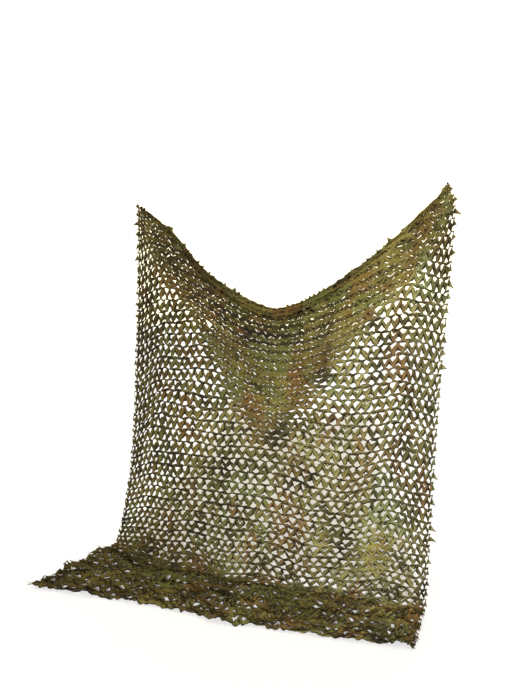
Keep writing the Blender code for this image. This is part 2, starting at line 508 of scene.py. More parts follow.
        past = np.clip((row - floor_row) / (self.last_row - floor_row), 0.0, None)
        point, lying = self._laid(across, point, height, past)
        rough = self.loft_base + self.loft.at(column, row) + self.loft_lumps * self.lumps.at(column, row)
        point[..., 2] += self.loft_height * lying * np.maximum(rough, 0.0)
        return point + np.array(self.middle)

    def _laid(self, across: Array, start: Array, height: Array, past: Array) -> tuple[Array, Array]:
        """Cloth bent onto the floor.

        Args:
            across: -1 to 1.
            start: points of the hanging cloth.
            height: height above the floor, where the cloth hangs.
            past: 0 at the contact line to 1 at the front edge.

        Returns:
            The points, and 0 for those that hang to 1 for those that lie.
        """
        _, front = self.foot(across)
        corner = self.at_floor(across)
        run = np.linalg.norm(front - corner, axis=-1)
        along = np.where(past > 0.0, past * run, -height)
        radius = self.bend_radius
        low = self.lying(across, np.clip(along / run, radius / run, None))
        turn = np.clip((along + radius) / (2 * radius), 0.0, 1.0)[..., None]
        near_floor = self.lying(across, radius / run)
        bend = lerp(lerp(start, corner, turn), lerp(corner, near_floor, turn), turn)
        point = np.where((along > -radius)[..., None], bend, start)
        point = np.where((along > radius)[..., None], low, point)
        return point, smooth((along + radius) / (4 * radius))

    def _turned(self, across: Array, start: Array, over: Array) -> Array:
        """Points of the top edge, which is rolled forwards and over to the back.

        Args:
            across: -1 to 1.
            start: top points of the hanging cloth, under the roll.
            over: 0 at the front to 1 at the cloth's end behind.

        Returns:
            Points on the roll and on the flap behind it.
        """
        step = 0.01
        rise = self.top_height(start[..., 0] + step) - self.top_height(start[..., 0] - step)
        outward = unit(np.stack([-rise, 0.0 * rise, np.full(rise.shape, 2 * step)], axis=-1))
        radius = self.turn_radius(across)
        flap = lerp(*self.flaps, across * across)
        arc = 1.5 * math.pi
        run = over * (arc * radius + flap)
        angle = np.minimum(run / radius, arc)
        lift = radius * (1.0 - np.cos(angle)) - np.maximum(0.0, run - arc * radius)
        point = start + outward * lift[..., None]
        point[..., 1] -= radius * np.sin(angle)
        return point


@dataclass
class ClothMesh:
    """Vertices, faces and cloth coordinates, gathered before they become one mesh."""

    points: list[Array] = field(default_factory=list)
    cloth: list[Array] = field(default_factory=list)
    cut: list[Array] = field(default_factory=list)
    faces: list[Array] = field(default_factory=list)
    count: int = 0
    lowest: float = 0.0006
    weld: float = 2e-5

    def add_points(self, points: Array, cloth: Array, cut: Array) -> Array:
        """Add vertices, none of them sunk into the floor.

        Args:
            points: places, with three values on the last axis.
            cloth: flat coordinates in metres, with two values on the last axis.
            cut: how near each vertex is to a cut edge, and how dark its painted shade is.

        Returns:
            The new vertices' numbers, in the shape of the points.
        """
        shape = points.shape[:-1]
        points = points.reshape(-1, 3).copy()
        points[:, 2] = np.maximum(points[:, 2], self.lowest)
        self.points.append(points)
        self.cloth.append(np.broadcast_to(cloth, shape + (2,)).reshape(-1, 2))
        self.cut.append(np.broadcast_to(cut, shape).reshape(-1))
        numbers = np.arange(self.count, self.count + len(points)).reshape(shape)
        self.count += len(points)
        return numbers

    def add_grid(self, numbers: Array, flip: Array) -> None:
        """Add the quads of grids of vertices.

        Args:
            numbers: vertex numbers; the last two axes are the rows and columns of a grid.
            flip: for each grid, whether its quads are turned over.
        """
        a, b = numbers[..., :-1, :-1], numbers[..., :-1, 1:]
        c, d = numbers[..., 1:, 1:], numbers[..., 1:, :-1]
        plain, turned = np.stack([a, b, c, d], -1), np.stack([a, d, c, b], -1)
        quads = np.where(flip[..., None, None, None], turned, plain)
        self.faces.append(quads.reshape(-1, 4))

    def build(self, name: str, slack: Callable[[Array, Array], Array], flat: Array) -> bpy.types.Object:
        """Make the object, with shared vertices welded.

        Args:
            name: the piece's name.
            slack: how shut the slits are, from a column and a row.
            flat: size of a column and a band of flat cloth, in metres.

        Returns:
            The new object, smooth shaded and linked to the scene.
        """
        points = np.concatenate(self.points)
        cells = np.round(points / self.weld).astype(np.int64)
        _, first, index = np.unique(cells, axis=0, return_index=True, return_inverse=True)
        faces = index.reshape(-1)[np.concatenate(self.faces)]
        sides = [[v for n, v in enumerate(f) if v != f[n - 1]] for f in faces.tolist()]
        mesh = bpy.data.meshes.new(name)
        mesh.from_pydata(points[first].tolist(), [], [s for s in sides if len(s) > 2])
        loops = np.empty(len(mesh.loops), dtype=np.int64)
        mesh.loops.foreach_get("vertex_index", loops)
        cloth = np.concatenate(self.cloth)[first]
        layer = mesh.uv_layers.new(name=CLOTH_MAP)
        layer.data.foreach_set("uv", cloth[loops].reshape(-1))
        marks = {SLACK: slack(*(cloth / flat).T), CUT_EDGE_AND_SHADE: np.concatenate(self.cut)[first]}
        for mark, values in marks.items():
            attribute = mesh.attributes.new(mark, "FLOAT", "POINT")
            attribute.data.foreach_set("value", values.astype(np.float32))
        mesh.validate()
        mesh.shade_smooth()
        piece = bpy.data.objects.new(name, mesh)
        bpy.context.scene.collection.objects.link(piece)
        return piece


@dataclass(frozen=True)
class Cells:
    """Every cell of the lattice: an opening and the bars round it, one value for each."""

    column: Array       # middle of the opening's straight side
    row: Array          # row of that side
    lean: Array         # 1 for an opening that hangs, -1 for one that stands
    across: Array       # share of the net's width to its left
    tall: Array         # the way from the straight side to the tip, as long as the cell
    front: Array        # front side of the cloth
    rolled: Array       # 1 in the rolled top edge
    sunk: Array         # rows below the crest of that edge
    lying: Array        # 1 on the floor
    shut: Array         # 1 where the slits are shut
    stretch: Array      # 0 where they are shut to 1 where they are pulled wide open
    narrow: Array       # 1 in the narrow columns at the sides


@dataclass(frozen=True)
class Hinges:
    """Lines of vertices from which leaves grow."""

    numbers: Array
    places: Array
    along: Array        # direction in which a leaf points when it lies in the cloth
    front: Array        # front side of the cloth
    start: Array        # flat coordinates at the middle of each line
    lean: Array         # 1 for a leaf that points down the cloth, -1 for up
    flip: Array         # whether a leaf's faces are turned over


@dataclass(frozen=True)
class LeafForm:
    """How each leaf is cut and how it stands and curls."""

    length: Array
    angle: Array
    curl: Array
    gutter: Array
    sway: Array
    # how dark the painted shade on the leaf's outline is
    rim: Array
    neck: Array


@dataclass(frozen=True)
class Leaves:
    """The leaves that the die cuts and that curl out of the cloth."""

    length: float = 0.0175
    length_reach: float = 1 / 3         # stretch from which leaves have this length
    neck_reach: float = 0.5             # and from which they fill the straight side
    length_spread: float = 0.08
    gap: float = 0.0009
    gap_spread: Pair = (0.4, 1.6)
    necks: Pair = (0.78, 0.80)          # in the middle and at the sides
    neck_spread: Pair = (0.93, 1.03)
    sides: Pair = (0.32, 0.72)          # shares of the half width where slits gape more
    widths: tuple[float, ...] = (0.64, 0.30, 0.06)
    forward: float = 0.62               # share of leaves that stand to the front
    lifts: Pair = (8.0, 80.0)           # degrees, on shut and open slits
    spreads: Pair = (10.0, 24.0)
    curl: float = 34.0
    curl_shut: float = 0.5
    tired: float = 0.24                 # share of leaves that are pulled less
    pulled_span: Pair = (0.12, 0.92)
    gutter: float = 0.004
    gutter_level: float = 0.4
    gutter_shut: float = 0.35
    sway: float = 0.0032
    open_calm: float = 0.4              # share of the sway that an open slit takes away
    rolled_angle: float = 34.0
    rolled_spread: float = 30.0
    rolled_length: float = 0.0125
    rolled_uneven: float = 0.003
    spike: float = 0.026
    spike_from: float = 0.78
    lying_angle: float = 20.0
    lying_spread: float = 34.0
    lying_length: float = 0.64
    loose_curl: float = 60.0
    # painted shade on the outline of a leaf over a shut slit
    shut_rim: float = 0.70
    torn_length: float = 0.002
    pull: Ripples = Ripples(53, 16.0, 3.0, 0.144)

    def forms(self, random: np.random.Generator, cells: Cells, depth: Array, torn: Array) -> LeafForm:
        """How each leaf of the lattice stands out of the cloth.

        Args:
            random: source of the unevenness.
            cells: the lattice.
            depth: how deep each opening is.
            torn: where a leaf is torn off.

        Returns:
            The leaves' lengths and curls.
        """
        size = cells.column.size
        normal, even = random.standard_normal, random.random
        stretch, rolled, lying = cells.stretch, cells.rolled, cells.lying
        side = np.where(even(size) < self.forward, 1.0, -1.0)
        pulled = ramp(stretch + self.pull.at(cells.column, cells.row), *self.pulled_span)
        pulled = pulled * np.where(even(size) < self.tired, even(size), 1.0)
        angle = lerp(*self.lifts, pulled) + lerp(*self.spreads, pulled) * normal(size)
        angle = side * np.abs(angle)
        curl = self.curl * side * even(size) * (self.curl_shut + pulled)
        gutter = self.gutter * (self.gutter_shut + pulled) * normal(size)
        aside = ramp(np.abs(2.0 * cells.across - 1.0), *self.sides)
        gap = self.gap * random.uniform(*self.gap_spread, size) * (1.0 + aside)
        length = lerp(depth - gap, self.length, smooth(stretch / self.length_reach))
        length = length * (1.0 + self.length_spread * normal(size))
        sway = self.sway * normal(size) * (1.0 - self.open_calm * stretch)
        angle = lerp(angle, self.rolled_angle + self.rolled_spread * normal(size), rolled)
        angle = lerp(angle, self.lying_angle + self.lying_spread * np.abs(normal(size)), lying)
        curl = lerp(curl, self.loose_curl * normal(size), np.maximum(lying, rolled))
        short = self.rolled_length + self.rolled_uneven * normal(size)
        length = lerp(length * lerp(1.0, self.lying_length, lying), short, rolled)
        length = np.where(rolled * even(size) > self.spike_from, self.spike, length)
        length = np.where(torn, self.torn_length, length)
        # Painted shade on the leaf's outline: full on open slits and in the roll, less on shut slits.
        rim = lerp(self.shut_rim, 1.0, np.maximum(stretch, rolled))
        neck = lerp(lerp(*self.necks, aside), 1.0, smooth(stretch / self.neck_reach))
        neck = neck * random.uniform(*self.neck_spread, size)
        return LeafForm(length, np.radians(angle), np.radians(curl), gutter, sway, rim, neck)

    def add(self, sheet: ClothMesh, hinges: Hinges, form: LeafForm) -> None:
        """Add leaves to a mesh.

        Args:
            sheet: the mesh that is being gathered.
            hinges: where the leaves grow.
            form: their lengths and curls.
        """
        middle = hinges.places.mean(axis=1)
        spread = hinges.places - middle[:, None, :]
        rows = np.arange(1, len(self.widths) + 1) / len(self.widths)
        step = (form.length / rows.size)[:, None]
        angles = form.angle[:, None] + form.curl[:, None] * rows[None, :]
        reach = np.cumsum(np.cos(angles) * step, axis=1)
        rise = np.cumsum(np.sin(angles) * step, axis=1)
        widths = np.array(self.widths)[None, :] * form.neck[:, None]
        offset = np.linspace(-1.0, 1.0, hinges.numbers.shape[1])
        bowl = (offset**2 - self.gutter_level)[None, None, :]
        trough = form.gutter[:, None, None] * bowl * widths[:, :, None]
        sideways = unit(hinges.places[:, -1] - hinges.places[:, 0]) * form.sway[:, None]
        points = middle[:, None, None, :] + spread[:, None, :, :] * widths[:, :, None, None]
        points = points + hinges.along[:, None, None, :] * reach[:, :, None, None]
        points = points + sideways[:, None, None, :] * rows[None, :, None, None]
        points = points + hinges.front[:, None, None, :] * (rise[:, :, None] + trough)[..., None]
        flat_wide = np.linalg.norm(spread, axis=-1) * np.sign(offset)[None, :]
        flat_x = hinges.start[:, None, None, 0] + flat_wide[:, None, :] * widths[:, :, None]
        down = (hinges.lean * form.length)[:, None, None] * rows[None, :, None]
        flat_y = hinges.start[:, None, None, 1] + down
        cloth = np.stack(np.broadcast_arrays(flat_x, flat_y), axis=-1)
        # The leaf's outline carries its painted shade.
        edge = np.maximum(np.abs(offset)[None, :] > 0.9, rows[:, None] > 0.9).astype(float)
        numbers = sheet.add_points(points, cloth, edge[None, ...] * form.rim[:, None, None])
        sheet.add_grid(np.concatenate([hinges.numbers[:, None, :], numbers], axis=1), hinges.flip)


@dataclass(frozen=True)
class Lattice:
    """The die-cut lattice: bars and openings, with the leaves cut from them."""

    drape: Drape
    leaves: Leaves = Leaves()
    column_pitch: float = 0.050
    row_pitch: float = 0.051
    steps: int = 4
    seed: int = 5
    # The straight bar
    half_chord: float = 0.0052
    chord_spread: Pair = (0.65, 1.35)
    chord_most: float = 0.25            # share of a cell's height
    chord_tilt: float = 0.034
    # The opening: widths are shares of a column, depths of a cell's height
    depths: Pair = (0.36, 0.43)         # shut and open
    depth_spread: float = 0.09
    depth_limits: Pair = (0.20, 0.54)
    widths: Pair = (0.84, 0.79)
    side_width: float = -0.15
    width_spread: float = 0.16
    left_width: float = 0.84
    left_reach: float = 0.7143
    narrow_pitch: float = 0.035
    wide_pitch: float = 0.044
    shut_seam: float = 0.60
    apex_skew: float = 0.09
    apex_limit: float = 0.16
    apex_shut: float = 0.4
    bulge: float = 0.075
    bulge_shut: float = 0.3
    ragged: float = 0.026
    lying_open: float = 0.49
    lying_stretch: float = 0.30
    lying_start: float = -0.8
    lying_rows: float = 2.0
    torn: Pair = (12.5, 10.0)
    torn_width: float = 0.9
    torn_depth: float = 0.8
    twist: float = 0.0060
    twist_shut: float = 0.45
    twist_spread: float = 0.5
    # Painted shade at the openings' rims: how dark each side is painted, darkest on the undersides of
    # the bars and chords
    open_fold: Pair = (0.60, 1.0)       # at the straight side, standing and hanging
    open_slant: Pair = (0.95, 0.50)     # at the slanting sides
    shut_fold: float = 0.05
    shut_slant: float = 0.93
    lying_edge_shade: Pair = (0.12, 0.40)      # painted shade on the rims of cloth on the floor, left and right
    roll_shadow_rows: Pair = (1.4, 1.8)     # middle and width of the painted shadow under the roll, in rows
    roll_shadow_columns: Pair = (18.5, 7.5)
    roll_shadow_most: float = 0.95
    # Painted shade on whole cells: its spread, on the roll, on the floor from left to right, on the
    # narrow sides
    cell_shade_spread: Pair = (0.35, 1.0)
    roll_shade: float = 0.35
    lying_cell_shade: Pair = (0.05, 0.50)
    side_shade: float = 0.37
    cell_shade_least: float = 0.02
    # Painted shadow along the chords, where the leaves fold out; darker on the left
    chord_shadow_strength: float = 0.8
    chord_shadow_sides: Pair = (0.75, 0.22)     # left and right
    chord_shadow_ripples: Ripples = Ripples(97, 6.0, 0.8, 0.3)

    @property
    def flat(self) -> Array:
        """Size of a column and a band of flat cloth."""
        return np.array([self.column_pitch, self.row_pitch])

    def on_floor(self, column: Array, row: Array) -> Array:
        """0 where the cloth hangs to 1 where it lies."""
        _, _, floor_row = self.drape.height_of(self.drape.across(column), row)
        return smooth((row - floor_row - self.lying_start) / self.lying_rows)

    def slackness(self, column: Array, row: Array) -> Array:
        """How shut the slits are at points of the cloth.

        Args:
            column: place across, in columns.
            row: place down, in bands.

        Returns:
            0 where they are pulled open to 1 where they are shut.
        """
        held = lerp(1.0, self.lying_stretch, self.on_floor(column, row))
        return 1.0 - self.drape.openness(column, row) * held

    def cells(self) -> Cells:
        """Every cell of the lattice.

        Returns:
            The cells, row by row, those that hang before those that stand.
        """
        drape = self.drape
        found = []
        for row in range(drape.first_row, drape.last_row):
            found += [(column + 0.5, row, Lean.HANGING.value) for column in range(drape.columns)]
            found += [(column, row + 1, Lean.STANDING.value) for column in range(1, drape.columns)]
        column, row, lean = np.array(found, dtype=float).T
        wide = drape.place(column + 0.5, row) - drape.place(column - 0.5, row)
        tall = drape.place(column, row + lean) - drape.place(column, row)
        _, top_row, _ = drape.height_of(drape.across(column), row)
        lying = self.on_floor(column, row)
        shut = self.slackness(column, row + 0.5 * lean)
        return Cells(
            column=column,
            row=row,
            lean=lean,
            across=column / drape.columns,
            tall=tall,
            front=unit(-np.cross(wide, tall) * lean[:, None]),
            rolled=smooth(top_row + 0.5 - row - 0.5 * lean),
            sunk=row - top_row,
            lying=lying,
            shut=shut,
            stretch=lerp(1.0 - shut, self.lying_open, lying),
            narrow=ramp(np.linalg.norm(wide, axis=-1), self.wide_pitch, self.narrow_pitch),
        )

    def build(self, sheet: ClothMesh) -> None:
        """Add the whole lattice to a mesh.

        Args:
            sheet: the mesh that is being gathered.
        """
        random = np.random.default_rng(self.seed)
        cells, place = self.cells(), self.drape.place
        hangs = cells.lean > 0.0
        torn = (cells.column == self.torn[0]) & (cells.row == self.torn[1])
        n = self.steps
        step = np.arange(n) / n
        ring_across = np.concatenate([step - 0.5, 0.5 * (1.0 - step), -0.5 * step])
        ring_along = np.concatenate([0.0 * step, step, 1.0 - step])
        outer = self._map(cells, ring_across[None, :], ring_along[None, :])
        across, along, chord, depth = self._opening(random, cells, torn)
        inner = self._map(cells, across, along)
        turn = self.twist * lerp(self.twist_shut, 1.0, cells.stretch) * cells.lean
        turn = turn * (1.0 + self.twist_spread * random.standard_normal(cells.row.size))
        slant = np.sin(math.pi * np.arange(1, 2 * n) / (2 * n)) ** 0.5
        off = turn[:, None] * np.concatenate([np.zeros(n + 1), slant])[None, :]
        inner_places = place(*np.moveaxis(inner, -1, 0)) + cells.front[:, None, :] * off[..., None]

        # Painted shade on whole cells and along the rims of the openings.
        cell_shade, cut = self._cell_shade(random, cells), self._rim_shade(cells)
        column, row = np.moveaxis(outer, -1, 0)
        # Painted shadow along each chord, only where the slits are pulled open.
        chord_shadow = smooth(lerp(*self.chord_shadow_sides, column / self.drape.columns) + self.chord_shadow_ripples.at(column, row))
        chord_shadow = self.chord_shadow_strength * cells.stretch[:, None] * chord_shadow * (ring_along < 0.01)
        outer_numbers = sheet.add_points(place(column, row), outer * self.flat, np.maximum(cell_shade, chord_shadow))
        inner_numbers = sheet.add_points(inner_places, inner * self.flat, np.maximum(cut, cell_shade))
        closed = np.stack([outer_numbers, inner_numbers], axis=1)
        sheet.add_grid(np.concatenate([closed, closed[..., :1]], axis=-1), hangs)

        start = np.stack([cells.column, cells.row + cells.lean * chord], axis=-1) * self.flat
        hinges = Hinges(
            inner_numbers[:, : n + 1], inner_places[:, : n + 1], unit(cells.tall), cells.front,
            start, cells.lean, hangs,
        )
        self.leaves.add(sheet, hinges, self.leaves.forms(random, cells, depth, torn))

    def _opening(
        self, random: np.random.Generator, cells: Cells, torn: Array
    ) -> tuple[Array, Array, Array, Array]:
        """Outline of the opening in each cell.

        Args:
            random: source of the unevenness.
            cells: the lattice.
            torn: where the opening is torn wide.

        Returns:
            Places across in columns and along in bands of each outline's points, half the
            straight bar in bands, and the depth of the opening.
        """
        normal, size, stretch = random.standard_normal, cells.row.size, cells.stretch
        band = np.linalg.norm(cells.tall, axis=-1)
        chord = self.half_chord * random.uniform(*self.chord_spread, size) / band
        chord = np.minimum(chord, self.chord_most)
        tilt = (self.chord_tilt * normal(size))[:, None]
        seam = lerp(1.0, self.shut_seam, cells.rolled)
        depth = band * lerp(*self.depths, stretch)
        depth = depth * (1.0 + self.depth_spread * normal(size)) * seam
        depth = np.clip(depth, self.depth_limits[0] * band, self.depth_limits[1] * band)
        width = lerp(*self.widths, stretch) + self.side_width * cells.narrow * stretch
        width = width * (1.0 - self.width_spread * random.random(size)) * seam
        width = width * lerp(self.left_width, 1.0, smooth(cells.across / self.left_reach))
        width = np.where(torn, self.torn_width, width)
        depth = np.where(torn, self.torn_depth * band, depth)
        apex = self.apex_skew * normal(size) * lerp(self.apex_shut, 1.0, stretch)
        apex = np.clip(apex, -self.apex_limit, self.apex_limit)[:, None]

        n = self.steps
        share = (np.arange(n) / n)[None, :]
        half, low, high = 0.5 * width[:, None], chord[:, None], (chord + depth / band)[:, None]
        bow = self.bulge * np.sin(math.pi * share) * lerp(self.bulge_shut, 1.0, stretch)[:, None]
        sides = [half * (2.0 * share - 1.0), lerp(half, apex, share) + half * bow]
        across = np.concatenate([*sides, lerp(apex, -half, share) - half * bow], axis=1)
        rises = [low + tilt * (2.0 * share - 1.0), lerp(low + tilt, high, share)]
        along = np.concatenate([*rises, lerp(high, low - tilt, share)], axis=1)
        ragged = self.ragged * normal((2, size, 3 * n))
        return across + ragged[0], along + ragged[1], chord, depth

    def _cell_shade(self, random: np.random.Generator, cells: Cells) -> Array:
        """Painted shade on whole cells: a shadow under the middle of the roll, and shade on the roll, on
        the narrow sides and on random cells of the floor.

        Args:
            random: source of the unevenness.
            cells: the lattice.

        Returns:
            A value for each cell, to be matched with the points' nearness to a cut edge.
        """
        size = cells.row.size
        near = bell(cells.sunk, *self.roll_shadow_rows) * bell(cells.column, *self.roll_shadow_columns)
        cell_shade = np.maximum(self.roll_shadow_most * near, self.roll_shade * cells.rolled)
        cell_shade = cell_shade * random.uniform(*self.cell_shade_spread, size)
        lain = lerp(*self.lying_cell_shade, cells.across) * cells.lying * random.random(size)
        side = self.side_shade * cells.narrow * cells.stretch
        cell_shade = np.maximum(np.maximum(cell_shade, lain), side)
        marks = np.where(cell_shade > self.cell_shade_least, lerp(*rim_span(cells.shut), cell_shade), 0.0)
        return marks[:, None]

    def _rim_shade(self, cells: Cells) -> Array:
        """How dark the painted shade is at the points of each opening's outline: darkest on the
        undersides of the bars and chords, and on the floor.

        Args:
            cells: the lattice.

        Returns:
            One value for each point.
        """
        hangs = (cells.lean > 0.0).astype(float)
        fold = lerp(self.shut_fold, lerp(*self.open_fold, hangs), cells.stretch)[:, None]
        slant = lerp(self.shut_slant, lerp(*self.open_slant, hangs), cells.stretch)[:, None]
        cut = np.where(np.arange(3 * self.steps)[None, :] <= self.steps, fold, slant)
        return lerp(cut, 1.0, (lerp(*self.lying_edge_shade, cells.across) * cells.lying)[:, None])

    def _map(self, cells: Cells, across: Array, along: Array) -> Array:
        """Columns and rows of points given inside each cell."""
        column = cells.column[:, None] + across
        row = cells.row[:, None] + cells.lean[:, None] * along
        return np.stack(np.broadcast_arrays(column, row), axis=-1)


class Side(Enum):
    """The two long sides of the net."""

    LEFT = -1
    RIGHT = 1


@dataclass(frozen=True)
class Border:
    """What finishes the lattice: side leaves, the scalloped front hem and the strip behind."""

    lattice: Lattice
    seed: int = 19
    # Side leaves
    short_leaf: float = 0.018
    long_leaf: float = 0.038
    long_share: float = 0.24
    length_spread: Pair = (0.75, 1.15)
    roots: Pair = (0.25, 0.70)
    fall: Pair = (0.4, 1.5)
    angle: float = 28.0
    long_angle: float = 0.6
    curl: float = 20.0
    gutter: float = 0.003
    # Front hem
    hem: float = 0.005
    hem_points: int = 6                 # in a column
    scallop: float = 0.017
    scallop_columns: float = 0.85
    scallop_wander: float = 2.9167
    scallop_power: float = 0.7
    scallop_limits: Pair = (0.1, 1.6)
    scallop_mean: float = 0.9
    scallop_sizes: Ripples = Ripples(71, 5.0, 1.1, 0.36)
    hem_row: float = 0.055
    hem_curl: float = 0.005
    hem_curls: Ripples = Ripples(83, 1.9, 0.6)
    hem_rough: float = 0.001
    hem_dark: float = 0.15
    hem_darks: Ripples = Ripples(29, 4.0, 0.7, 0.21)
    # Strip behind the top edge, in rows
    end_strip: float = 0.3
    end_points: int = 4

    def build(self, sheet: ClothMesh) -> None:
        """Add the border to a mesh.

        Args:
            sheet: the mesh that is being gathered.
        """
        for side in Side:
            self._side_leaves(sheet, side)
        self._front_hem(sheet)
        self._end_strip(sheet)

    def _side_leaves(self, sheet: ClothMesh, side: Side) -> None:
        """Pointed leaves on the slanting bars of one side.

        Args:
            sheet: the mesh that is being gathered.
            side: which side of the net.
        """
        random = np.random.default_rng(self.seed + side.value)
        normal = random.standard_normal
        drape, lattice = self.lattice.drape, self.lattice
        rows = np.arange(drape.first_row, drape.last_row)
        share = lerp(*self.roots, np.linspace(0.0, 1.0, lattice.steps + 1))[None, :]
        edge = 0.0 if side is Side.LEFT else float(drape.columns)
        row = rows[:, None] + share
        column = edge - side.value * 0.5 * share + 0.0 * row
        places = drape.place(column, row)
        cloth = np.stack([column, row], axis=-1) * lattice.flat
        numbers = sheet.add_points(places, cloth, np.ones(row.shape))
        down = unit(places[:, -1] - places[:, 0])
        outward = unit(places[:, 2] - drape.place(column[:, 2] - side.value, row[:, 2]))
        front = unit(np.cross(down, outward)) * side.value
        size = rows.size
        along = unit(outward + down * random.uniform(*self.fall, size)[:, None])
        long_leaf = random.random(size) < self.long_share
        length = np.where(long_leaf, self.long_leaf, self.short_leaf)
        form = LeafForm(
            length=length * random.uniform(*self.length_spread, size),
            angle=np.radians(self.angle) * normal(size) * np.where(long_leaf, self.long_angle, 1.0),
            curl=np.radians(self.curl) * normal(size),
            gutter=self.gutter * normal(size),
            sway=np.zeros(size),
            rim=np.ones(size),
            neck=np.ones(size),
        )
        flip = np.zeros(size, dtype=bool)
        hinges = Hinges(numbers, places, along, front, cloth[:, 2], np.ones(size), flip)
        lattice.leaves.add(sheet, hinges, form)

    def _front_hem(self, sheet: ClothMesh) -> None:
        """Uncut hem along the front edge, in rounded scallops.

        Args:
            sheet: the mesh that is being gathered.
        """
        drape = self.lattice.drape
        random = np.random.default_rng(self.seed)
        column = np.linspace(0.0, drape.columns, self.hem_points * drape.columns + 1)
        turns = column / self.scallop_columns
        turns = turns + self.scallop_wander * drape.column_wobble.at(column, 0.0 * column)
        lobe = np.abs(np.sin(math.pi * turns)) ** self.scallop_power
        size = self.scallop_mean + self.scallop_sizes.at(column, 0.0 * column)
        length = self.hem + self.scallop * lobe * np.clip(size, *self.scallop_limits)
        share = np.linspace(0.0, 1.0, 5)[:, None]
        column, row = np.broadcast_arrays(column, drape.last_row + share * length / self.hem_row)
        places = drape.place(column, row)
        curl = self.hem_curl * share**2 * (1.0 + self.hem_curls.at(column, 5.0 * share))
        places[..., 2] += curl + self.hem_rough * random.standard_normal(row.shape) * share
        dark = share - self.hem_dark + self.hem_darks.at(column, 2.0 * share)
        self._add_strip(sheet, column, row, places, smooth(dark))

    def _end_strip(self, sheet: ClothMesh) -> None:
        """Plain strip at the turned-in end, behind the top edge.

        Args:
            sheet: the mesh that is being gathered.
        """
        drape = self.lattice.drape
        column = np.linspace(0.0, drape.columns, self.end_points * drape.columns + 1)
        share = np.linspace(1.0, 0.0, 3)[:, None]
        column, row = np.broadcast_arrays(column, drape.first_row - self.end_strip * share)
        self._add_strip(sheet, column, row, drape.place(column, row), (share > 0.9).astype(float))

    def _add_strip(self, sheet: ClothMesh, column: Array, row: Array, places: Array, cut: Array) -> None:
        """Add a plain strip of cloth to a mesh.

        Args:
            sheet: the mesh that is being gathered.
            column: columns of the strip's points.
            row: their rows.
            places: where they lie.
            cut: how near they are to a cut edge, and how dark they are painted there.
        """
        cloth = np.stack([column, row], axis=-1) * self.lattice.flat
        numbers = sheet.add_points(places, cloth, cut)
        sheet.add_grid(numbers[None, ...], np.array([True]))


class Value:
    """A number in a material, with operators that add Math nodes."""

    def __init__(self, bench: "Bench", socket: bpy.types.NodeSocket) -> None:
        """Wrap a socket of a bench's node tree."""
        self.bench = bench
        self.socket = socket

    def _math(self, operation: str, first: Any, second: Any = 0.0) -> "Value":
        """Result of one Math node on values or numbers."""
        node = self.bench.node("ShaderNodeMath", {"operation": operation}, {0: first, 1: second})
        return Value(self.bench, node.outputs[0])

    def __add__(self, other: Any) -> "Value":
        """Sum."""
        return self._math("ADD", self, other)

    def __mul__(self, other: Any) -> "Value":
        """Product."""
        return self._math("MULTIPLY", self, other)

    def sine(self) -> "Value":
        """Sine of the value in radians."""
        return self._math("SINE", self)

    def step(self, low: Any, high: Any) -> "Value":
        """Soft step from 0 at low to 1 at high."""
        node = self.bench.node(
            "ShaderNodeMapRange",
            {"interpolation_type": "SMOOTHSTEP"},
            {"Value": self, "From Min": low, "From Max": high},
        )
        return Value(self.bench, node.outputs["Result"])

    __radd__ = __add__
    __rmul__ = __mul__


class Bench:
    """Adds nodes to one node tree."""

    def __init__(self, tree: bpy.types.NodeTree) -> None:
        """Start with an empty tree."""
        self.tree = tree
        tree.nodes.clear()

    def node(
        self, kind: str, settings: dict[str, Any] | None = None,
        inputs: dict[Any, Any] | None = None,
    ) -> bpy.types.Node:
        """Add a node.

        Args:
            kind: the node's type.
            settings: its settings, set first.
            inputs: a value or a link for each socket, by name or number.

        Returns:
            The new node.
        """
        made = self.tree.nodes.new(kind)
        for name, setting in (settings or {}).items():
            setattr(made, name, setting)
        for name, given in (inputs or {}).items():
            source = given.socket if isinstance(given, Value) else given
            if isinstance(source, bpy.types.NodeSocket):
                self.tree.links.new(source, made.inputs[name])
            else:
                made.inputs[name].default_value = source
        return made

    def attribute(self, name: str) -> Value:
        """A mesh attribute as a value."""
        return Value(self, self.node("ShaderNodeAttribute", {"attribute_name": name}).outputs["Fac"])

    def noise(self, place: Any, scale: float, detail: float = 2.0, **more: float) -> Value:
        """Noise at a place, from 0 to 1.

        Args:
            place: vector socket.
            scale: features in a unit of length.
            detail: octaves.
            more: other sockets of the node.

        Returns:
            The noise as a value.
        """
        inputs = {"Vector": place, "Scale": scale, "Detail": detail} | more
        made = self.node("ShaderNodeTexNoise", {"noise_dimensions": "3D"}, inputs)
        return Value(self, made.outputs["Fac"])

    def mix(self, factor: Any, first: Any, second: Any, blend: str = "MIX") -> bpy.types.NodeSocket:
        """Mix of two colours.

        Args:
            factor: value or number.
            first: colour or link at 0.
            second: colour or link at 1.
            blend: the Mix node's blend type.

        Returns:
            The colour socket.
        """
        settings = {"data_type": "RGBA", "blend_type": blend, "clamp_factor": True}
        made = self.node("ShaderNodeMix", settings, {0: factor, 6: first, 7: second})
        return made.outputs[2]

    def tint(self, colour: Any, factor: Any, first: Any, second: Any) -> bpy.types.NodeSocket:
        """A colour, multiplied by a mix of two others."""
        return self.mix(1.0, colour, self.mix(factor, first, second), "MULTIPLY")

    def surface(self, inputs: dict[str, Any]) -> None:
        """Finish a material with a Principled shader.

        Args:
            inputs: a value or a link for each socket, by name.
        """
        shader = self.node("ShaderNodeBsdfPrincipled", None, inputs)
        self.node("ShaderNodeOutputMaterial", None, {"Surface": shader.outputs[0]})


def linear(red: int, green: int, blue: int) -> Colour:
    """Colour for a shader, from everyday 0 to 255 values."""
    parts = [value / 255.0 for value in (red, green, blue)]
    bent = [p / 12.92 if p <= 0.04045 else ((p + 0.055) / 1.055) ** 2.4 for p in parts]
    return (bent[0], bent[1], bent[2], 1.0)


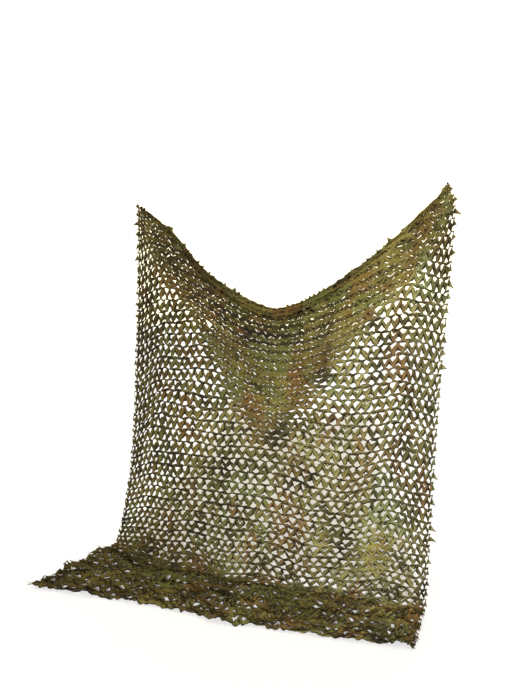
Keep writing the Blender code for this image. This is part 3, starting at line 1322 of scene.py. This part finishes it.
@dataclass(frozen=True)
class Blotch:
    """One ink of the print: irregular patches in one colour."""

    colour: Colour
    size: float
    share: float
    seed: float
    stretch: float = 1.0


@dataclass(frozen=True)
class Stain:
    """A soft change of colour that comes and goes over the cloth."""

    colour: Colour
    scale: float
    octaves: float
    span: Pair
    strength: float

    def cover(self, bench: Bench, flat: bpy.types.NodeSocket) -> Value:
        """Where the stain lies, from 0 to 1."""
        return bench.noise(flat, self.scale, self.octaves).step(*self.span)


@dataclass(frozen=True)
class PrintedOxford:
    """Thin coated oxford cloth with a generic woodland print."""

    ground: Colour = linear(94, 86, 44)
    inks: tuple[Blotch, ...] = (
        Blotch(linear(118, 110, 62), 0.42, 0.46, 3.1, 0.85),
        Blotch(linear(82, 64, 32), 0.40, 0.34, 11.7, 0.75),
        Blotch(linear(60, 59, 29), 0.34, 0.34, 23.9, 1.0),
        Blotch(linear(104, 76, 40), 0.26, 0.16, 41.3, 0.8),
        Blotch(linear(92, 98, 54), 0.30, 0.26, 57.9, 0.8),
        Blotch(linear(34, 29, 17), 0.14, 0.13, 71.3, 0.7),
    )
    ink_strength: float = 0.72
    ink_edge: float = 0.05
    ink_range: float = 0.27
    ink_noise: float = 1.35
    # Painted light: the print is painted darker at the left and lighter and bluer at the right, as if
    # lit from the right.
    left_painted_shade: Colour = (0.77, 0.72, 0.57, 1.0)
    right_painted_light: Colour = (1.82, 1.90, 2.35, 1.0)
    painted_light_span: Pair = (0.3, 1.7)
    shaded: Colour = (0.64, 0.58, 0.38, 1.0)
    mottled: Colour = (0.78, 0.77, 0.74, 1.0)
    plain: Colour = (1.22, 1.22, 1.20, 1.0)
    mottle_scale: float = 75.0
    mottle_span: Pair = (0.30, 0.70)
    soil: Stain = Stain(linear(58, 50, 26), 2.6, 4.0, (0.40, 0.72), 0.30)
    fade: Stain = Stain(linear(140, 134, 96), 21.0, 3.0, (0.45, 0.80), 0.18)
    # Painted shade: the dark colour laid along cut edges, chords and shaded cells
    rim: Colour = linear(18, 14, 7)
    rim_strength: float = 0.92
    sheen: float = 0.14
    dull: float = 0.70
    dull_patches: float = 0.20
    dull_soil: float = 0.08
    patch_scale: float = 55.0
    fray_scale: float = 900.0
    fray_span: Pair = (0.7, 1.0)
    fray_depth: float = 2.0             # against the weave's
    thread: float = 0.0009
    weave_depth: float = 0.00010
    crease: float = 0.030
    crease_depth: float = 0.012

    def build(self) -> bpy.types.Material:
        """Make the material.

        Returns:
            The finished cloth.
        """
        material = bpy.data.materials.new("printed_oxford_cloth")
        material.use_nodes = True
        bench = Bench(material.node_tree)
        flat = bench.node("ShaderNodeUVMap", {"uv_map": CLOTH_MAP}).outputs["UV"]
        parts = bench.node("ShaderNodeSeparateXYZ", None, {0: flat}).outputs
        across, along = Value(bench, parts["X"]), Value(bench, parts["Y"])
        edge, shut = bench.attribute(CUT_EDGE_AND_SHADE), bench.attribute(SLACK)
        colour = self._print(bench, flat)
        # Painted light: darker at the left, lighter and bluer at the right.
        colour = bench.tint(colour, across.step(*self.painted_light_span), self.left_painted_shade, self.right_painted_light)
        colour = bench.mix(shut, colour, self.shaded, "MULTIPLY")
        mottle = bench.noise(flat, self.mottle_scale).step(*self.mottle_span)
        colour = bench.tint(colour, mottle, self.mottled, self.plain)
        soil, fade = self.soil.cover(bench, flat), self.fade.cover(bench, flat)
        colour = bench.mix(soil * self.soil.strength, colour, self.soil.colour)
        colour = bench.mix(fade * self.fade.strength, colour, self.fade.colour)
        # Painted shade along the cut edges, chords, leaf outlines and shaded cells.
        colour = bench.mix(edge.step(*rim_span(shut)) * self.rim_strength, colour, self.rim)

        patches = bench.noise(flat, self.patch_scale)
        turn = math.tau / self.thread
        weave = (across * turn).sine() * (along * turn).sine()
        fray = bench.noise(flat, self.fray_scale, 1.0) * edge.step(*self.fray_span)
        creases = bench.noise(flat, 1.0 / self.crease, 3.0, Distortion=0.8)
        fine = {"Height": weave + self.fray_depth * fray, "Distance": self.weave_depth, "Strength": 0.35}
        broad = {"Height": creases, "Distance": self.crease_depth, "Strength": 0.9}
        broad["Normal"] = bench.node("ShaderNodeBump", None, fine).outputs[0]
        bench.surface(
            {
                "Base Color": colour,
                "Roughness": self.dull + self.dull_patches * patches + self.dull_soil * soil,
                "Normal": bench.node("ShaderNodeBump", None, broad).outputs[0],
                "Specular IOR Level": self.sheen,
            }
        )
        return material

    def _print(self, bench: Bench, flat: bpy.types.NodeSocket) -> bpy.types.NodeSocket:
        """Patches of ink over the ground colour.

        Args:
            bench: where the nodes go.
            flat: the cloth's flat coordinates.

        Returns:
            The colour.
        """
        colour: Any = self.ground
        for ink in self.inks:
            place = {
                "Vector": flat,
                "Location": (ink.seed, 1.7 * ink.seed, 0.0),
                "Scale": (1.0 / ink.size, ink.stretch / ink.size, 1.0),
            }
            spread = bench.node("ShaderNodeMapping", {"vector_type": "POINT"}, place).outputs["Vector"]
            patch = bench.noise(spread, self.ink_noise, 3.0, Roughness=0.52, Distortion=0.45)
            middle = 0.5 + self.ink_range * (0.5 - ink.share)
            cover = patch.step(middle - self.ink_edge, middle + self.ink_edge)
            colour = bench.mix(cover * self.ink_strength, colour, ink.colour)
        return colour


@dataclass(frozen=True)
class CamouflageNet:
    """The whole net: lattice, leaves and border in one cut length of cloth."""

    lattice: Lattice = Lattice(Drape())
    cloth: PrintedOxford = PrintedOxford()
    flat_width: float = 2.00
    flat_length: float = 2.27
    name: str = "net_lattice_cloth"

    def build(self) -> bpy.types.Object:
        """Returns:
            The net.
        """
        sheet = ClothMesh()
        self.lattice.build(sheet)
        Border(self.lattice).build(sheet)
        piece = sheet.build(self.name, self.lattice.slackness, self.lattice.flat)
        piece.data.materials.append(self.cloth.build())
        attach(piece, "root")
        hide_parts("net_sheet")
        return piece


@dataclass(frozen=True)
class Studio:
    """Pale floor, white surroundings and one soft light."""

    floor_size: float = 24.0
    floor_drop: float = 0.0008
    floor_colour: Colour = (0.92, 0.93, 0.99, 1.0)
    floor_glow: Colour = (0.11, 0.10, 0.085, 1.0)
    floor_sheen: float = 0.2
    backdrop: float = 1.35
    backdrop_tint: Colour = (1.0, 0.93, 0.70, 1.0)
    surround: float = 0.50
    surround_tint: Colour = (1.0, 0.93, 0.68, 1.0)
    key_tint: tuple[float, float, float] = (0.98, 1.0, 1.05)
    key_turn: float = 18.0
    key_rise: float = 28.0
    key_strength: float = 3.0
    key_softness: float = 7.0
    exposure: float = 0.25

    def build(self) -> None:
        """Make the floor, the surroundings and the light, and set how bright they look."""
        self._floor()
        self._surroundings()
        self._key_light()
        settings = bpy.context.scene.view_settings
        settings.exposure = self.exposure
        settings.view_transform = "Standard"
        settings.look = "None"

    def _floor(self) -> None:
        """Plain pale floor that glows a little, like a light table."""
        half = 0.5 * self.floor_size
        mesh = bpy.data.meshes.new("floor")
        corners = [(-half, -half), (half, -half), (half, half), (-half, half)]
        mesh.from_pydata([(x, y, -self.floor_drop) for x, y in corners], [], [(0, 1, 2, 3)])
        floor = bpy.data.objects.new("floor", mesh)
        bpy.context.scene.collection.objects.link(floor)
        material = bpy.data.materials.new("pale_floor")
        material.use_nodes = True
        bench = Bench(material.node_tree)
        place = bench.node("ShaderNodeTexCoord").outputs["Object"]
        bench.surface(
            {
                "Base Color": self.floor_colour,
                "Emission Color": self.floor_glow,
                "Emission Strength": 1.0,
                "Roughness": 0.75 + 0.1 * bench.noise(place, 3.0),
                "Specular IOR Level": self.floor_sheen,
            }
        )
        mesh.materials.append(material)

    def _surroundings(self) -> None:
        """White all round."""
        world = bpy.data.worlds.new("white_surround")
        world.use_nodes = True
        bench = Bench(world.node_tree)
        seen = Value(bench, bench.node("ShaderNodeLightPath").outputs["Is Camera Ray"])
        strength = lerp(self.surround, self.backdrop, seen)
        tint = bench.mix(seen, self.surround_tint, self.backdrop_tint)
        light = bench.node("ShaderNodeBackground", None, {"Color": tint, "Strength": strength})
        bench.node("ShaderNodeOutputWorld", None, {"Surface": light.outputs[0]})
        bpy.context.scene.world = world

    def _key_light(self) -> None:
        """Broad even light from in front, a little above and to the side."""
        data = bpy.data.lights.new("key_light", "SUN")
        data.energy = self.key_strength
        data.angle = math.radians(self.key_softness)
        data.color = self.key_tint
        lamp = bpy.data.objects.new("key_light", data)
        lamp.rotation_euler = (math.radians(90.0 - self.key_rise), 0.0, math.radians(self.key_turn))
        bpy.context.scene.collection.objects.link(lamp)


@dataclass(frozen=True)
class Viewpoint:
    """Camera at eye level, a little to the right, looking slightly down."""

    place: tuple[float, float, float] = (1.2084, -2.3980, 1.697)
    turn: float = 24.03
    tilt: float = 7.57
    focal_pixels: float = 540.0
    frame_height: float = 688.0
    sensor: float = 36.0

    def build(self) -> bpy.types.Object:
        """Make the camera and give it to the scene.

        Returns:
            The camera.
        """
        data = bpy.data.cameras.new("camera")
        data.sensor_width = self.sensor
        data.lens = self.focal_pixels * self.sensor / self.frame_height
        camera = bpy.data.objects.new("camera", data)
        camera.location = self.place
        camera.rotation_euler = (math.radians(90.0 - self.tilt), 0.0, math.radians(self.turn))
        bpy.context.scene.collection.objects.link(camera)
        bpy.context.scene.camera = camera
        return camera


def main() -> None:
    """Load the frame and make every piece."""
    logging.basicConfig(level=logging.INFO, format="%(name)s: %(message)s")
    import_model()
    camera = Viewpoint().build()
    LOG.info("%s: lens %.2f mm", camera.name, camera.data.lens)
    net = CamouflageNet().build()
    triangles = sum(len(face.vertices) - 2 for face in net.data.polygons)
    LOG.info("%s: %d triangles", net.name, triangles)
    Studio().build()
    LOG.info("studio: floor, surroundings and light")


if __name__ == "__main__":
    main()
